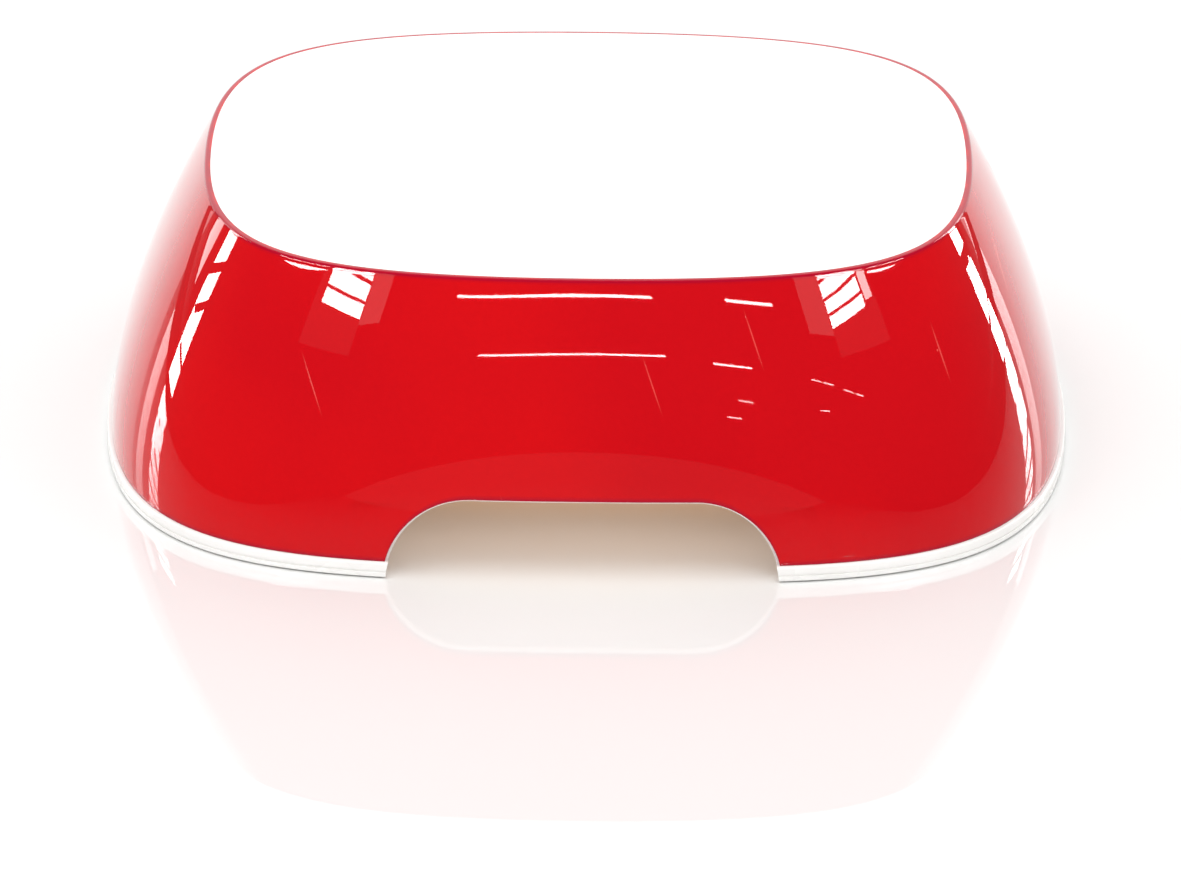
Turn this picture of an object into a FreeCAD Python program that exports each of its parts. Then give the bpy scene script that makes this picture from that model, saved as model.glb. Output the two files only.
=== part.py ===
"""Two-colour pet bowl: a white moulding, a transparent red skin over its skirt and four rubber feet.

The bowl stands on the XY plane with the middle of its base at the origin. +X runs along its longer
side, -Y is its front and +Z is up. All sizes are millimetres.

The white moulding is one piece: the bowl, the rim that turns down into a flaring skirt, the flange
along the skirt's foot, and four bosses under the rim that hold the feet. The skin is moulded over the
outside of the skirt, from the top of the flange to the rim. A finger notch is cut through the front
and the rear of skirt and skin.
"""
import FreeCAD, Part
import Sketcher
import os

V = FreeCAD.Vector

# Every driving size, with the meaning of each. Everything else is worked out from these in the sheet.
SIZES = {
    # overall shape, over the outside of the red skin
    "height": 66.7,
    "base_half_width": 110.0,
    "base_half_depth": 94.6,
    "rim_half_width": 88.0,
    "rim_half_depth": 78.5,
    # how square the corners are: where the outline leaves the side and the front, as a share of the
    # half depth and of the half width (1 is square, 0.55 is an ellipse)
    "rim_side_handle": 0.77,
    "rim_front_handle": 0.82,
    "base_side_handle": 0.98,
    "base_front_handle": 0.62,
    # how much the skirt bulges on its way down (1 is a straight flare)
    "skirt_bulge": 1.6,
    # walls
    "skin_thickness": 1.2,
    "skirt_wall": 2.2,
    "rim_land": 2.5,
    "bowl_wall": 2.4,
    "rim_depth": 6.7,
    # flange along the foot of the skirt
    "skin_bottom": 3.8,
    "flange_out": 0.9,
    "floor_clearance": 0.3,
    "flange_round": 0.4,
    # inside of the bowl
    "floor_top": 14.0,
    "inside_draft_angle": 18.0,
    "inside_round": 16.0,
    "rim_round": 1.2,
    "skin_round": 0.7,
    # finger notch, front and rear
    "notch_height": 18.1,
    "notch_flat_half": 25.4,
    "notch_corner": 18.9,
    "notch_reach": 20.0,
    "skin_setback": 0.7,
    # bosses and feet
    "foot_place_width": 68.0,
    "foot_place_depth": 57.0,
    "boss_diameter": 14.0,
    "boss_top": 50.0,
    "web_thickness": 2.0,
    "web_length": 15.0,
    "foot_diameter": 13.0,
    "foot_head": 1.2,
    "foot_round": 0.4,
    "stem_diameter": 6.2,
    "stem_length": 6.0,
    "stem_chamfer": 0.8,
    "bore_diameter": 6.0,
    "bore_end_gap": 1.0,
}

# How far down the skirt each section of its lofts lies: 0 is the rim, 1 is the top of the flange.
SKIRT_LEVELS = (0.0, 0.2, 0.45, 0.72, 1.0)
# How far round the bottom corner of the bowl each section lies: 0 is the floor, 1 is the wall.
CORNER_TURNS = (0.0, 0.25, 0.5, 0.75, 1.0)
# The side of the bowl that each foot stands on, along X and along Y.
FOOT_SIDES = {
    "foot_front_left": (-1, -1),
    "foot_front_right": (1, -1),
    "foot_rear_left": (-1, 1),
    "foot_rear_right": (1, 1),
}
# How far a feature runs past the faces that it joins or cuts, so that no two faces just touch.
OVERRUN = 1.0


def make_sheet(doc):
    """Put every driving size into a spreadsheet cell that carries the size's own name."""
    sheet = doc.addObject("Spreadsheet::Sheet", "Sizes")
    for row, (name, value) in enumerate(SIZES.items(), start=1):
        sheet.set(f"A{row}", name)
        sheet.set(f"B{row}", str(value))
        sheet.setAlias(f"B{row}", name)
    doc.recompute()
    return sheet


def new_body(doc, label):
    """Add an empty body whose label names the sub-part."""
    body = doc.addObject("PartDesign::Body", "Body_" + label)
    body.Label = label
    return body


def origin_plane(body, role):
    """Find one of the body's own origin planes, such as XY_Plane."""
    return next(feature for feature in body.Origin.OriginFeatures if feature.Role == role)


def new_sketch(body, name, role="XY_Plane", offset="0"):
    """Add a sketch on an origin plane of the body, moved along its normal by an expression."""
    sketch = body.newObject("Sketcher::SketchObject", name)
    sketch.AttachmentSupport = [(origin_plane(body, role), "")]
    sketch.MapMode = "FlatFace"
    sketch.setExpression("AttachmentOffset.Base.z", offset)
    return sketch


def size_constraint(sketch, constraint, name, expression):
    """Add a dimension, name it and bind it to the sheet."""
    index = sketch.addConstraint(constraint)
    sketch.renameConstraint(index, name)
    sketch.setExpression("Constraints." + name, expression)


def outline_sketch(body, name, height, half_width, half_depth, side_handle, front_handle):
    """Draw a closed rounded-rectangle outline of four mirrored curves, flat at the given height.

    Each curve runs a quarter of the way round. It leaves the side straight towards the front as far as
    the side handle (a share of the half depth), and meets the front as far as the front handle (a share
    of the half width) from the middle. All arguments are expressions on the sheet.
    """
    sketch = new_sketch(body, name, offset=height)
    # A rough outline in the right order: the constraints below pull it to size.
    a, b, ka, kb = 100.0, 90.0, 80.0, 70.0
    quarters = (
        ((a, 0), (a, kb), (ka, b), (0, b)),
        ((0, b), (-ka, b), (-a, kb), (-a, 0)),
        ((-a, 0), (-a, -kb), (-ka, -b), (0, -b)),
        ((0, -b), (ka, -b), (a, -kb), (a, 0)),
    )
    for points in quarters:
        curve = Part.BSplineCurve()
        curve.buildFromPolesMultsKnots([V(x, y, 0) for x, y in points], [4, 4], [0, 1], False, 3)
        sketch.addGeometry(curve, False)
    first_pole = []
    for curve_index in range(4):
        first_pole.append(len(sketch.Geometry))
        sketch.exposeInternalGeometry(curve_index)
    start, end, centre = 1, 2, 3
    x_axis, y_axis, origin = -1, -2, (-1, 1)

    def pole(curve_index, pole_index):
        return first_pole[curve_index] + pole_index, centre

    for curve_index in range(4):
        sketch.addConstraint(Sketcher.Constraint(
            "Coincident", curve_index, end, (curve_index + 1) % 4, start))
    sketch.addConstraint(Sketcher.Constraint("PointOnObject", 0, start, x_axis))
    sketch.addConstraint(Sketcher.Constraint("PointOnObject", 0, end, y_axis))
    sketch.addConstraint(Sketcher.Constraint("Symmetric", 0, start, 1, end, y_axis))
    sketch.addConstraint(Sketcher.Constraint("Symmetric", 0, end, 2, end, x_axis))
    sketch.addConstraint(Sketcher.Constraint("Vertical", 0, start, *pole(0, 1)))
    sketch.addConstraint(Sketcher.Constraint("Horizontal", 0, end, *pole(0, 2)))
    mirrored = (
        (pole(0, 1), pole(1, 2), y_axis),
        (pole(0, 2), pole(1, 1), y_axis),
        (pole(0, 1), pole(3, 2), x_axis),
        (pole(0, 2), pole(3, 1), x_axis),
        (pole(1, 2), pole(2, 1), x_axis),
        (pole(1, 1), pole(2, 2), x_axis),
    )
    for one, other, axis in mirrored:
        sketch.addConstraint(Sketcher.Constraint("Symmetric", *one, *other, axis))
    size_constraint(sketch, Sketcher.Constraint("DistanceX", *origin, 0, start, a),
                    "half_width", half_width)
    size_constraint(sketch, Sketcher.Constraint("DistanceY", *origin, 0, end, b),
                    "half_depth", half_depth)
    size_constraint(sketch, Sketcher.Constraint("DistanceY", *origin, *pole(0, 1), kb),
                    "side_handle", f"({half_depth}) * ({side_handle})")
    size_constraint(sketch, Sketcher.Constraint("DistanceX", *origin, *pole(0, 2), ka),
                    "front_handle", f"({half_width}) * ({front_handle})")
    return sketch


def skirt_share(level):
    """Expression for how far the skirt has flared at a level, from 0 at the rim to 1 at the flange."""
    return f"(1 - (1 - ({level})) ^ Sizes.skirt_bulge)"


def skirt_outline(body, name, level, inset):
    """Draw the skirt's outline at a level, moved in from the outside of the skin by an expression."""
    share = skirt_share(level)
    return outline_sketch(
        body, name,
        height=f"Sizes.height - (Sizes.height - Sizes.skin_bottom) * ({level})",
        half_width=f"Sizes.rim_half_width + (Sizes.base_half_width - Sizes.rim_half_width)"
                   f" * {share} - ({inset})",
        half_depth=f"Sizes.rim_half_depth + (Sizes.base_half_depth - Sizes.rim_half_depth)"
                   f" * {share} - ({inset})",
        side_handle=f"Sizes.rim_side_handle + (Sizes.base_side_handle - Sizes.rim_side_handle)"
                    f" * ({level})",
        front_handle=f"Sizes.rim_front_handle + (Sizes.base_front_handle - Sizes.rim_front_handle)"
                     f" * ({level})")


def inside_outline(body, name, height, inset):
    """Draw an outline of the bowl at a height, moved in from the inner edge of the rim."""
    edge = "Sizes.skin_thickness + Sizes.rim_land"
    return outline_sketch(
        body, name, height=height,
        half_width=f"Sizes.rim_half_width - ({edge}) - ({inset})",
        half_depth=f"Sizes.rim_half_depth - ({edge}) - ({inset})",
        side_handle="Sizes.rim_side_handle",
        front_handle="Sizes.rim_front_handle")


def corner_outlines(body, name, wall):
    """Draw the outlines round the bottom corner of the bowl, from its floor up to its wall.

    The corner is an arc about a centre that lies one inside radius from the floor and from the tapered
    wall. It is drawn on the inside of the bowl, or further out by the thickness of the wall.
    """
    draft, radius = "Sizes.inside_draft_angle", f"(Sizes.inside_round + {wall})"
    centre_height = "Sizes.floor_top + Sizes.inside_round"
    centre_inset = (f"tan({draft}) * (Sizes.height - ({centre_height}))"
                    f" + Sizes.inside_round / cos({draft})")
    return [
        inside_outline(body, f"{name}_{number}",
                       height=f"{centre_height} - {radius} * cos({turn} * (90 - {draft}))",
                       inset=f"{centre_inset} - {radius} * sin({turn} * (90 - {draft}))")
        for number, turn in enumerate(CORNER_TURNS)
    ]


def wall_outline(body, name, height, wall):
    """Draw the outline of the tapered wall at a height, on its inside or further out by its thickness."""
    draft = "Sizes.inside_draft_angle"
    return inside_outline(body, name, height,
                          f"tan({draft}) * (Sizes.height - ({height})) - {wall} / cos({draft})")


def loft(body, kind, name, sections):
    """Join sections with a smooth AdditiveLoft or SubtractiveLoft."""
    feature = body.newObject("PartDesign::" + kind, name)
    feature.Profile = (sections[0], [""])
    feature.Sections = [(section, [""]) for section in sections[1:]]
    feature.Ruled = False
    body.Document.recompute()
    return feature


def extrude(body, kind, name, sketch, length, upward):
    """Pad or pocket a sketch by an expression's length, up or down from its plane."""
    earlier = body.Tip.Shape.Volume if body.Tip else 0.0
    feature = body.newObject("PartDesign::" + kind, name)
    feature.Profile = (sketch, [""])
    feature.setExpression("Length", length)
    # A pad runs along the sketch's normal and a pocket runs against it.
    feature.Reversed = upward == (kind == "Pocket")
    body.Document.recompute()
    change = feature.Shape.Volume - earlier
    if (change < 0) != (kind == "Pocket"):
        raise RuntimeError(f"{body.Label}: {name} changed the volume by {change:.1f} mm3")
    return feature


def round_edges(body, name, edges, radius):
    """Fillet the named edges of the body's last feature."""
    base = body.Tip
    feature = body.newObject("PartDesign::Fillet", name)
    feature.Base = (base, edges)
    feature.setExpression("Radius", radius)
    body.Document.recompute()
    return feature


def flat_edges(body, height, outermost):
    """Name the outermost or innermost ring of the body's edges that lie flat at a height."""
    rings = []
    for index, edge in enumerate(body.Tip.Shape.Edges, start=1):
        box = edge.BoundBox
        if abs(box.ZMin - height) > 0.01 or abs(box.ZMax - height) > 0.01:
            continue
        middle = edge.valueAt((edge.FirstParameter + edge.LastParameter) / 2)
        rings.append((V(middle.x, middle.y, 0).Length, f"Edge{index}"))
    reach = max(rings)[0] if outermost else min(rings)[0]
    return [name for distance, name in rings if abs(distance - reach) < 0.2]


def notch_sketch(body, name, grow):
    """Draw the finger notch upright in front of the bowl, made larger by an expression.

    It is a flat-topped arch: a level top, a quarter circle down each side, and straight sides on past
    the bottom of the flange.
    """
    sketch = new_sketch(body, name, role="XZ_Plane",
                        offset=f"Sizes.base_half_depth + Sizes.flange_out + {OVERRUN}")
    flat, top, radius, bottom = 25.0, 18.0, 19.0, -3.0
    wide = flat + radius
    left_arc = Part.Arc(V(-wide, top - radius, 0), V(-flat - 0.7071 * radius, top - 0.2929 * radius, 0),
                        V(-flat, top, 0))
    right_arc = Part.Arc(V(flat, top, 0), V(flat + 0.7071 * radius, top - 0.2929 * radius, 0),
                         V(wide, top - radius, 0))
    line_ends = (
        (V(-flat, top, 0), V(flat, top, 0)),
        (V(wide, top - radius, 0), V(wide, bottom, 0)),
        (V(wide, bottom, 0), V(-wide, bottom, 0)),
        (V(-wide, bottom, 0), V(-wide, top - radius, 0)),
    )
    top_line, right_line, bottom_line, left_line = (
        sketch.addGeometry(Part.LineSegment(one, other), False) for one, other in line_ends)
    right = sketch.addGeometry(right_arc, False)
    left = sketch.addGeometry(left_arc, False)
    # An arc is kept anticlockwise, so the right arc ends at the top line and the left arc starts there.
    joints = (
        ("Tangent", top_line, 2, right, 2),
        ("Tangent", right_line, 1, right, 1),
        ("Coincident", right_line, 2, bottom_line, 1),
        ("Coincident", bottom_line, 2, left_line, 1),
        ("Tangent", left_line, 2, left, 2),
        ("Tangent", top_line, 1, left, 1),
    )
    for joint in joints:
        sketch.addConstraint(Sketcher.Constraint(*joint))
    sketch.addConstraint(Sketcher.Constraint("Horizontal", bottom_line))
    sketch.addConstraint(Sketcher.Constraint("Vertical", right_line))
    sketch.addConstraint(Sketcher.Constraint("Vertical", left_line))
    sketch.addConstraint(Sketcher.Constraint("Equal", right, left))
    sketch.addConstraint(Sketcher.Constraint("Symmetric", top_line, 1, top_line, 2, -2))
    size_constraint(sketch, Sketcher.Constraint("DistanceX", -1, 1, top_line, 2, flat),
                    "flat_half", "Sizes.notch_flat_half")
    size_constraint(sketch, Sketcher.Constraint("DistanceY", -1, 1, top_line, 2, top),
                    "top", f"Sizes.notch_height + ({grow})")
    size_constraint(sketch, Sketcher.Constraint("Radius", right, radius),
                    "corner", f"Sizes.notch_corner + ({grow})")
    size_constraint(sketch, Sketcher.Constraint("DistanceY", bottom_line, 1, -1, 1, -bottom),
                    "below", f"max(0; Sizes.notch_corner - Sizes.notch_height) + {OVERRUN}")
    return sketch


def cut_notches(body, grow):
    """Cut the finger notch through the front of the body, and mirror it to the rear."""
    sketch = notch_sketch(body, "Notch_outline", grow)
    front = extrude(body, "Pocket", "Notch_front",
                    sketch, f"Sizes.notch_reach + {OVERRUN}", upward=False)
    rear = body.newObject("PartDesign::Mirrored", "Notch_rear")
    rear.Originals = [front]
    rear.MirrorPlane = (origin_plane(body, "XZ_Plane"), [""])
    body.Tip = rear
    body.Document.recompute()


def foot_circles(body, name, height, diameter):
    """Draw one circle at each of the four foot places."""
    sketch = new_sketch(body, name, offset=height)
    first = None
    # The numbers drawn here are a rough start: the constraints give the circles their places.
    for side_x, side_y in FOOT_SIDES.values():
        circle = sketch.addGeometry(Part.Circle(V(68 * side_x, 57 * side_y, 0), V(0, 0, 1), 5), False)
        if first is None:
            first = circle
            size_constraint(sketch, Sketcher.Constraint("Diameter", circle, 10),
                            "diameter", diameter)
        else:
            sketch.addConstraint(Sketcher.Constraint("Equal", first, circle))
        # The distance runs from the lesser to the greater coordinate, so that it stays positive.
        across = (-1, 1, circle, 3) if side_x > 0 else (circle, 3, -1, 1)
        along = (-1, 1, circle, 3) if side_y > 0 else (circle, 3, -1, 1)
        size_constraint(sketch, Sketcher.Constraint("DistanceX", *across, 68),
                        f"across_{circle}", "Sizes.foot_place_width")
        size_constraint(sketch, Sketcher.Constraint("DistanceY", *along, 57),
                        f"along_{circle}", "Sizes.foot_place_depth")
    return sketch


def web_rectangles(body, name, height):
    """Draw the four webs in plan: each runs from the middle of a boss towards the bowl's middle."""
    sketch = new_sketch(body, name, offset=height)
    # Each rectangle is drawn near its place, and the constraints then put it there.
    for index, (side_x, side_y) in enumerate(FOOT_SIDES.values()):
        outer, inner, near, far = 68.0 * side_x, 53.0 * side_x, 56.0 * side_y, 58.0 * side_y
        corners = [V(outer, near, 0), V(outer, far, 0), V(inner, far, 0), V(inner, near, 0)]
        lines = [sketch.addGeometry(Part.LineSegment(one, other), False)
                 for one, other in zip(corners, corners[1:] + corners[:1])]
        for line, following in zip(lines, lines[1:] + lines[:1]):
            sketch.addConstraint(Sketcher.Constraint("Coincident", line, 2, following, 1))
        outer_end, far_side, inner_end, near_side = lines
        sketch.addConstraint(Sketcher.Constraint("Vertical", outer_end))
        sketch.addConstraint(Sketcher.Constraint("Vertical", inner_end))
        sketch.addConstraint(Sketcher.Constraint("Horizontal", far_side))
        sketch.addConstraint(Sketcher.Constraint("Horizontal", near_side))
        distances = (
            ("DistanceX", outer_end, 1, side_x, "outer", "Sizes.foot_place_width"),
            ("DistanceX", inner_end, 1, side_x, "inner",
             "Sizes.foot_place_width - Sizes.web_length"),
            ("DistanceY", near_side, 1, side_y, "near",
             "Sizes.foot_place_depth - Sizes.web_thickness / 2"),
            ("DistanceY", far_side, 1, side_y, "far",
             "Sizes.foot_place_depth + Sizes.web_thickness / 2"),
        )
        for kind, line, point, side, word, expression in distances:
            ends = (-1, 1, line, point) if side > 0 else (line, point, -1, 1)
            size_constraint(sketch, Sketcher.Constraint(kind, *ends, 50.0),
                            f"{word}_{index}", expression)
    return sketch


def build_underside_form(doc):
    """Make the space under the bowl, inside the skirt, as a solid that the moulding is cut with.

    It leaves out the bowl, the bosses and the webs, which are then all part of the moulding and can't
    come out through the skirt.
    """
    body = new_body(doc, "underside_form")
    roof_level = "Sizes.rim_depth / (Sizes.height - Sizes.skin_bottom)"
    wall_inset = "Sizes.skin_thickness + Sizes.skirt_wall"
    levels = [roof_level] + [str(level) for level in SKIRT_LEVELS[1:]]
    hollow = [skirt_outline(body, f"Hollow_outline_{number}", level, wall_inset)
              for number, level in enumerate(levels)]
    loft(body, "AdditiveLoft", "Skirt_hollow", hollow)
    mouth = skirt_outline(body, "Hollow_mouth_outline", "1", wall_inset)
    extrude(body, "Pad", "Hollow_mouth", mouth, f"Sizes.skin_bottom + {OVERRUN}", upward=False)

    corner = corner_outlines(body, "Bowl_corner_outline", "Sizes.bowl_wall")
    above_roof = f"Sizes.height - Sizes.rim_depth + {OVERRUN}"
    wall = [corner[-1], wall_outline(body, "Bowl_roof_outline", above_roof, "Sizes.bowl_wall")]
    loft(body, "SubtractiveLoft", "Bowl_wall", wall)
    loft(body, "SubtractiveLoft", "Bowl_corner", corner)

    bosses = foot_circles(body, "Boss_circles", "Sizes.foot_head", "Sizes.boss_diameter")
    extrude(body, "Pocket", "Bosses", bosses, "Sizes.boss_top - Sizes.foot_head", upward=True)
    webs = web_rectangles(body, "Web_rectangles", "Sizes.floor_top")
    extrude(body, "Pocket", "Webs", webs, "Sizes.boss_top - Sizes.floor_top", upward=True)
    return body


def build_white_bowl(doc, underside_form):
    """Make the white moulding: skirt, flange, bowl, bosses and webs, in one solid."""
    body = new_body(doc, "white_bowl")
    # The moulding starts as a solid block inside the skin, on a solid flange.
    block = [skirt_outline(body, f"Skirt_outline_{number}", str(level), "Sizes.skin_thickness")
             for number, level in enumerate(SKIRT_LEVELS)]
    loft(body, "AdditiveLoft", "Skirt_block", block)
    flange = skirt_outline(body, "Flange_outline", "1", "-Sizes.flange_out")
    extrude(body, "Pad", "Flange", flange, "Sizes.skin_bottom - Sizes.floor_clearance", upward=False)
    for name, height in (("Flange_top_round", SIZES["skin_bottom"]),
                         ("Flange_foot_round", SIZES["floor_clearance"])):
        round_edges(body, name, flat_edges(body, height, outermost=True), "Sizes.flange_round")

    # The inside is cut before the underside, so that each cut meets one simple solid.
    corner = corner_outlines(body, "Inside_corner_outline", "0")
    wall = [corner[-1], wall_outline(body, "Inside_rim_outline", "Sizes.height", "0")]
    loft(body, "SubtractiveLoft", "Inside_wall", wall)
    loft(body, "SubtractiveLoft", "Inside_corner", corner)
    round_edges(body, "Rim_round", flat_edges(body, SIZES["height"], outermost=False),
                "Sizes.rim_round")
    underside = body.newObject("PartDesign::Boolean", "Underside")
    underside.setObjects([underside_form])
    underside.Type = "Cut"
    doc.recompute()

    bores = foot_circles(body, "Bore_circles", "Sizes.foot_head", "Sizes.bore_diameter")
    extrude(body, "Pocket", "Bores", bores, "Sizes.stem_length + Sizes.bore_end_gap", upward=True)
    cut_notches(body, "0")
    return body


def build_red_skin(doc):
    """Make the transparent red skin, which covers the skirt from the flange to the rim."""
    body = new_body(doc, "red_skin")
    outside = [skirt_outline(body, f"Skin_outline_{number}", str(level), "0")
               for number, level in enumerate(SKIRT_LEVELS)]
    loft(body, "AdditiveLoft", "Skin_outside", outside)
    inside = [skirt_outline(body, f"Skin_inner_outline_{number}", str(level), "Sizes.skin_thickness")
              for number, level in enumerate(SKIRT_LEVELS)]
    loft(body, "SubtractiveLoft", "Skin_inside", inside)
    round_edges(body, "Skin_top_round", flat_edges(body, SIZES["height"], outermost=True),
                "Sizes.skin_round")
    cut_notches(body, "Sizes.skin_setback")
    return body


def build_foot(doc, label, side_x, side_y):
    """Make one rubber foot: a round head under the boss and a stem pressed into its bore."""
    body = new_body(doc, label)
    profile = new_sketch(body, "Profile_" + label, role="XZ_Plane")
    head, stem, thick, tall, tip = 6.5, 3.1, 1.2, 7.2, 0.8
    points = [V(0, 0, 0), V(head, 0, 0), V(head, thick, 0), V(stem, thick, 0),
              V(stem, tall - tip, 0), V(stem - tip, tall, 0), V(0, tall, 0)]
    lines = [profile.addGeometry(Part.LineSegment(one, other), False)
             for one, other in zip(points, points[1:] + points[:1])]
    for line, following in zip(lines, lines[1:] + lines[:1]):
        profile.addConstraint(Sketcher.Constraint("Coincident", line, 2, following, 1))
    floor, head_side, shoulder, stem_side, chamfer, end_face, axis = lines
    for line in (floor, shoulder, end_face):
        profile.addConstraint(Sketcher.Constraint("Horizontal", line))
    for line in (head_side, stem_side, axis):
        profile.addConstraint(Sketcher.Constraint("Vertical", line))
    profile.addConstraint(Sketcher.Constraint("Coincident", floor, 1, -1, 1))
    sizes = (
        ("DistanceX", (-1, 1, floor, 2), head, "head_radius", "Sizes.foot_diameter / 2"),
        ("DistanceX", (-1, 1, shoulder, 2), stem, "stem_radius", "Sizes.stem_diameter / 2"),
        ("DistanceY", (-1, 1, head_side, 2), thick, "head_thickness", "Sizes.foot_head"),
        ("DistanceY", (shoulder, 2, end_face, 1), tall - thick, "stem_length", "Sizes.stem_length"),
        ("DistanceX", (end_face, 1, stem_side, 2), tip, "tip_across", "Sizes.stem_chamfer"),
        ("DistanceY", (stem_side, 2, end_face, 1), tip, "tip_along", "Sizes.stem_chamfer"),
    )
    for kind, ends, value, name, expression in sizes:
        size_constraint(profile, Sketcher.Constraint(kind, *ends, value), name, expression)
    turned = body.newObject("PartDesign::Revolution", "Turned_" + label)
    turned.Profile = (profile, [""])
    turned.ReferenceAxis = (profile, ["V_Axis"])
    turned.Angle = 360
    doc.recompute()
    round_edges(body, "Head_round_" + label, flat_edges(body, 0.0, outermost=True),
                "Sizes.foot_round")
    body.setExpression("Placement.Base.x", f"{side_x} * Sizes.foot_place_width")
    body.setExpression("Placement.Base.y", f"{side_y} * Sizes.foot_place_depth")
    return body


def check_and_write(doc, bodies):
    """Stop if anything failed, then write each sub-part as a STEP file named after it."""
    doc.recompute()
    for item in doc.Objects:
        if "Invalid" in item.State or "Error" in item.State:
            raise RuntimeError(f"{item.Name} ({item.Label}) failed: {item.State}")
    for body in bodies:
        shape = body.Shape
        if shape.isNull() or not shape.isValid() or len(shape.Solids) != 1:
            raise RuntimeError(f"{body.Label} is not one valid solid")
    os.makedirs("parts", exist_ok=True)
    for body in bodies:
        body.Shape.exportStep(f"parts/{body.Label}.step")
        print(f"{body.Label}: {body.Shape.Volume / 1000:.2f} cm3")


def main():
    """Build the whole bowl."""
    doc = FreeCAD.newDocument("pet_bowl")
    make_sheet(doc)
    underside_form = build_underside_form(doc)
    bodies = [build_white_bowl(doc, underside_form), build_red_skin(doc)]
    for label, (side_x, side_y) in FOOT_SIDES.items():
        bodies.append(build_foot(doc, label, side_x, side_y))
    check_and_write(doc, bodies)


main()
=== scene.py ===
"""The looks of a two-colour pet bowl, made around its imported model.

The bowl is one white moulding with a glossy red skin over its skirt, and it stands on four rubber feet.
The moulding and the skin are modelled here ring by ring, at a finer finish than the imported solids, and the
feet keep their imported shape. All sizes are in millimetres until a mesh is laid out, and then in metres.
"""

import sys
import logging
import math
from dataclasses import dataclass, field
from enum import Enum

import bpy
from mathutils import Matrix, Vector


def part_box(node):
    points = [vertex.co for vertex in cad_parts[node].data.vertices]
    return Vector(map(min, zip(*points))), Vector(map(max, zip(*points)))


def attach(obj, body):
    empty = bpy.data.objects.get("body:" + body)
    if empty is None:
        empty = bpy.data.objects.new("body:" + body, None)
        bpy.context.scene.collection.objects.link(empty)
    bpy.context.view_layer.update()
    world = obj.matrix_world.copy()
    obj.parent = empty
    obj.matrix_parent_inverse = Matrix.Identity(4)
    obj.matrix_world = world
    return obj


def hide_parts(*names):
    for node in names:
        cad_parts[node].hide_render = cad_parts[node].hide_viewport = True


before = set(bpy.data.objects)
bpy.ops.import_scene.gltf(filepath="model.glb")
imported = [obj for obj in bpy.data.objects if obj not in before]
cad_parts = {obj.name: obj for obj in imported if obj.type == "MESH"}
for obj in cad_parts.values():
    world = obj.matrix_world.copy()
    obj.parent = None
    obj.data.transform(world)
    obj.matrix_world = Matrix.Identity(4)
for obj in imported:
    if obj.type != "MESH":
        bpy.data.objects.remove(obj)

MM = 0.001
Point = tuple[float, float, float]
Socket = bpy.types.NodeSocket

logging.basicConfig(level=logging.INFO, format="%(name)s: %(message)s", stream=sys.stdout, force=True)
log = logging.getLogger("bowl")


class Slot(Enum):
    """The record's material slots, by the piece that uses each."""

    MOULDING = "white_plastic"
    SKIN = "red_plastic"
    FEET = "foot_rubber"


# ---------------------------------------------------------------- materials


def linear_colour(srgb_hex: str) -> tuple[float, float, float, float]:
    """Turn an sRGB hex colour into linear red, green, blue and an alpha of 1.

    Args:
        srgb_hex: Six hex digits after a hash sign.

    Returns:
        The colour as Blender's sockets take it.
    """
    digits = srgb_hex.lstrip("#")
    parts = [int(digits[start:start + 2], 16) / 255 for start in (0, 2, 4)]
    linear = [part / 12.92 if part <= 0.04045 else ((part + 0.055) / 1.055) ** 2.4 for part in parts]
    return (linear[0], linear[1], linear[2], 1.0)


def add_node(tree: bpy.types.NodeTree, kind: str, settings: dict | None = None,
             values: dict | None = None, links: dict | None = None) -> bpy.types.Node:
    """Add one node to a tree, with its settings, its socket values and the links into it.

    Args:
        tree: The tree of a material or of the world.
        kind: The node's type, without the word ShaderNode.
        settings: The node's own properties, by name.
        values: Values of input sockets, by name or number.
        links: Output sockets that feed input sockets, by input name or number.

    Returns:
        The new node.
    """
    node = tree.nodes.new("ShaderNode" + kind)
    for name, value in (settings or {}).items():
        setattr(node, name, value)
    for name, value in (values or {}).items():
        node.inputs[name].default_value = value
    for name, socket in (links or {}).items():
        tree.links.new(socket, node.inputs[name])
    return node


def empty_material(name: str) -> bpy.types.Material:
    """Make a material with no nodes in its tree."""
    material = bpy.data.materials.new(name)
    material.use_nodes = True
    material.node_tree.nodes.clear()
    return material


def object_place(tree: bpy.types.NodeTree) -> Socket:
    """Give the Object coordinates, on which every pattern lies."""
    return add_node(tree, "TexCoord").outputs["Object"]


def per_metre(size_mm: float) -> float:
    """Give the scale at which a pattern on Object coordinates repeats about every size_mm."""
    return 1000.0 / size_mm


def noise(tree: bpy.types.NodeTree, place: Socket, size_mm: float, detail: float,
          roughness: float = 0.5) -> Socket:
    """Add noise with patches of about size_mm."""
    return add_node(tree, "TexNoise", values={"Scale": per_metre(size_mm), "Detail": detail,
                                              "Roughness": roughness}, links={"Vector": place}).outputs[0]


def calculate(tree: bpy.types.NodeTree, operation: str, *terms: Socket | float,
              clamp: bool = False) -> Socket:
    """Add a Math node on sockets and plain numbers, in order."""
    numbers = {place: term for place, term in enumerate(terms) if isinstance(term, float)}
    sockets = {place: term for place, term in enumerate(terms) if not isinstance(term, float)}
    return add_node(tree, "Math", {"operation": operation, "use_clamp": clamp}, numbers, sockets).outputs[0]


def spread_over(tree: bpy.types.NodeTree, value: Socket, low: float, high: float,
                start: float = 0.0, end: float = 1.0) -> Socket:
    """Turn a value from low to high into one from start to end, and hold it there outside."""
    return add_node(tree, "MapRange", values={"From Min": low, "From Max": high, "To Min": start,
                                              "To Max": end}, links={"Value": value}).outputs["Result"]


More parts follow.
